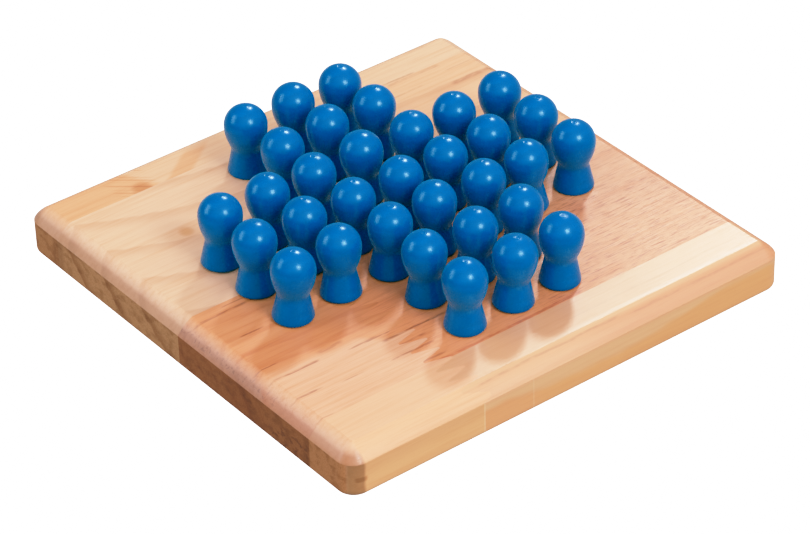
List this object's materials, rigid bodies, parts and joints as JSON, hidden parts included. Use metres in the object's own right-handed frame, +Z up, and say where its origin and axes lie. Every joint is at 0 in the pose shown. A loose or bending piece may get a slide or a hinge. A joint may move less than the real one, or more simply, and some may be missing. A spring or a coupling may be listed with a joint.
{
  "type": "peg solitaire board",
  "caption": "Square glued pine board with a cross of blind holes and a turned, blue-lacquered wooden peg standing in each hole.",
  "frame": {"origin": "middle of the underside of the board", "axes": "+Z up, the pegs lift out along it; +X along the grain to the right; the front edge, with the end of the finger joint, at -Y"},
  "size_m": [0.183, 0.183, 0.0441],
  "materials": {
    "tan_pine": "sanded, clear satin, light tan with darker patches at its left end",
    "pale_pine": "sanded, clear satin, pale cream with faint slanting growth bands",
    "mixed_pine": "sanded, clear satin, reddish heartwood going over to cream at the front",
    "reddish_pine": "sanded, clear satin, orange with fine dark flecks",
    "cream_pine": "sanded, clear satin, plain cream",
    "whitish_pine": "sanded, clear satin, whitish on top and orange below",
    "blue_lacquer": "turned wood under glossy azure lacquer"
  },
  "bodies": {
    "board": {"back_strip": "tan_pine", "back_stave": "pale_pine", "front_stave_left_block": "mixed_pine", "front_stave_right_block": "reddish_pine", "front_strip_left_block": "cream_pine", "front_strip_right_block": "whitish_pine"},
    "peg_a3": {"peg_a3": "blue_lacquer"},
    "peg_a4": {"peg_a4": "blue_lacquer"},
    "peg_a5": {"peg_a5": "blue_lacquer"},
    "peg_b3": {"peg_b3": "blue_lacquer"},
    "peg_b4": {"peg_b4": "blue_lacquer"},
    "peg_b5": {"peg_b5": "blue_lacquer"},
    "peg_c1": {"peg_c1": "blue_lacquer"},
    "peg_c2": {"peg_c2": "blue_lacquer"},
    "peg_c3": {"peg_c3": "blue_lacquer"},
    "peg_c4": {"peg_c4": "blue_lacquer"},
    "peg_c5": {"peg_c5": "blue_lacquer"},
    "peg_c6": {"peg_c6": "blue_lacquer"},
    "peg_c7": {"peg_c7": "blue_lacquer"},
    "peg_d1": {"peg_d1": "blue_lacquer"},
    "peg_d2": {"peg_d2": "blue_lacquer"},
    "peg_d3": {"peg_d3": "blue_lacquer"},
    "peg_d4": {"peg_d4": "blue_lacquer"},
    "peg_d5": {"peg_d5": "blue_lacquer"},
    "peg_d6": {"peg_d6": "blue_lacquer"},
    "peg_d7": {"peg_d7": "blue_lacquer"},
    "peg_e1": {"peg_e1": "blue_lacquer"},
    "peg_e2": {"peg_e2": "blue_lacquer"},
    "peg_e3": {"peg_e3": "blue_lacquer"},
    "peg_e4": {"peg_e4": "blue_lacquer"},
    "peg_e5": {"peg_e5": "blue_lacquer"},
    "peg_e6": {"peg_e6": "blue_lacquer"},
    "peg_e7": {"peg_e7": "blue_lacquer"},
    "peg_f3": {"peg_f3": "blue_lacquer"},
    "peg_f4": {"peg_f4": "blue_lacquer"},
    "peg_f5": {"peg_f5": "blue_lacquer"},
    "peg_g3": {"peg_g3": "blue_lacquer"},
    "peg_g4": {"peg_g4": "blue_lacquer"},
    "peg_g5": {"peg_g5": "blue_lacquer"}
  },
  "joints": [
    {"name": "lift_a3", "type": "slide", "parent": "board", "child": "peg_a3", "axis": [0, 0, 1], "range_m": [0, 0.04]},
    {"name": "lift_a4", "type": "slide", "parent": "board", "child": "peg_a4", "axis": [0, 0, 1], "range_m": [0, 0.04]},
    {"name": "lift_a5", "type": "slide", "parent": "board", "child": "peg_a5", "axis": [0, 0, 1], "range_m": [0, 0.04]},
    {"name": "lift_b3", "type": "slide", "parent": "board", "child": "peg_b3", "axis": [0, 0, 1], "range_m": [0, 0.04]},
    {"name": "lift_b4", "type": "slide", "parent": "board", "child": "peg_b4", "axis": [0, 0, 1], "range_m": [0, 0.04]},
    {"name": "lift_b5", "type": "slide", "parent": "board", "child": "peg_b5", "axis": [0, 0, 1], "range_m": [0, 0.04]},
    {"name": "lift_c1", "type": "slide", "parent": "board", "child": "peg_c1", "axis": [0, 0, 1], "range_m": [0, 0.04]},
    {"name": "lift_c2", "type": "slide", "parent": "board", "child": "peg_c2", "axis": [0, 0, 1], "range_m": [0, 0.04]},
    {"name": "lift_c3", "type": "slide", "parent": "board", "child": "peg_c3", "axis": [0, 0, 1], "range_m": [0, 0.04]},
    {"name": "lift_c4", "type": "slide", "parent": "board", "child": "peg_c4", "axis": [0, 0, 1], "range_m": [0, 0.04]},
    {"name": "lift_c5", "type": "slide", "parent": "board", "child": "peg_c5", "axis": [0, 0, 1], "range_m": [0, 0.04]},
    {"name": "lift_c6", "type": "slide", "parent": "board", "child": "peg_c6", "axis": [0, 0, 1], "range_m": [0, 0.04]},
    {"name": "lift_c7", "type": "slide", "parent": "board", "child": "peg_c7", "axis": [0, 0, 1], "range_m": [0, 0.04]},
    {"name": "lift_d1", "type": "slide", "parent": "board", "child": "peg_d1", "axis": [0, 0, 1], "range_m": [0, 0.04]},
    {"name": "lift_d2", "type": "slide", "parent": "board", "child": "peg_d2", "axis": [0, 0, 1], "range_m": [0, 0.04]},
    {"name": "lift_d3", "type": "slide", "parent": "board", "child": "peg_d3", "axis": [0, 0, 1], "range_m": [0, 0.04]},
    {"name": "lift_d4", "type": "slide", "parent": "board", "child": "peg_d4", "axis": [0, 0, 1], "range_m": [0, 0.04]},
    {"name": "lift_d5", "type": "slide", "parent": "board", "child": "peg_d5", "axis": [0, 0, 1], "range_m": [0, 0.04]},
    {"name": "lift_d6", "type": "slide", "parent": "board", "child": "peg_d6", "axis": [0, 0, 1], "range_m": [0, 0.04]},
    {"name": "lift_d7", "type": "slide", "parent": "board", "child": "peg_d7", "axis": [0, 0, 1], "range_m": [0, 0.04]},
    {"name": "lift_e1", "type": "slide", "parent": "board", "child": "peg_e1", "axis": [0, 0, 1], "range_m": [0, 0.04]},
    {"name": "lift_e2", "type": "slide", "parent": "board", "child": "peg_e2", "axis": [0, 0, 1], "range_m": [0, 0.04]},
    {"name": "lift_e3", "type": "slide", "parent": "board", "child": "peg_e3", "axis": [0, 0, 1], "range_m": [0, 0.04]},
    {"name": "lift_e4", "type": "slide", "parent": "board", "child": "peg_e4", "axis": [0, 0, 1], "range_m": [0, 0.04]},
    {"name": "lift_e5", "type": "slide", "parent": "board", "child": "peg_e5", "axis": [0, 0, 1], "range_m": [0, 0.04]},
    {"name": "lift_e6", "type": "slide", "parent": "board", "child": "peg_e6", "axis": [0, 0, 1], "range_m": [0, 0.04]},
    {"name": "lift_e7", "type": "slide", "parent": "board", "child": "peg_e7", "axis": [0, 0, 1], "range_m": [0, 0.04]},
    {"name": "lift_f3", "type": "slide", "parent": "board", "child": "peg_f3", "axis": [0, 0, 1], "range_m": [0, 0.04]},
    {"name": "lift_f4", "type": "slide", "parent": "board", "child": "peg_f4", "axis": [0, 0, 1], "range_m": [0, 0.04]},
    {"name": "lift_f5", "type": "slide", "parent": "board", "child": "peg_f5", "axis": [0, 0, 1], "range_m": [0, 0.04]},
    {"name": "lift_g3", "type": "slide", "parent": "board", "child": "peg_g3", "axis": [0, 0, 1], "range_m": [0, 0.04]},
    {"name": "lift_g4", "type": "slide", "parent": "board", "child": "peg_g4", "axis": [0, 0, 1], "range_m": [0, 0.04]},
    {"name": "lift_g5", "type": "slide", "parent": "board", "child": "peg_g5", "axis": [0, 0, 1], "range_m": [0, 0.04]}
  ]
}
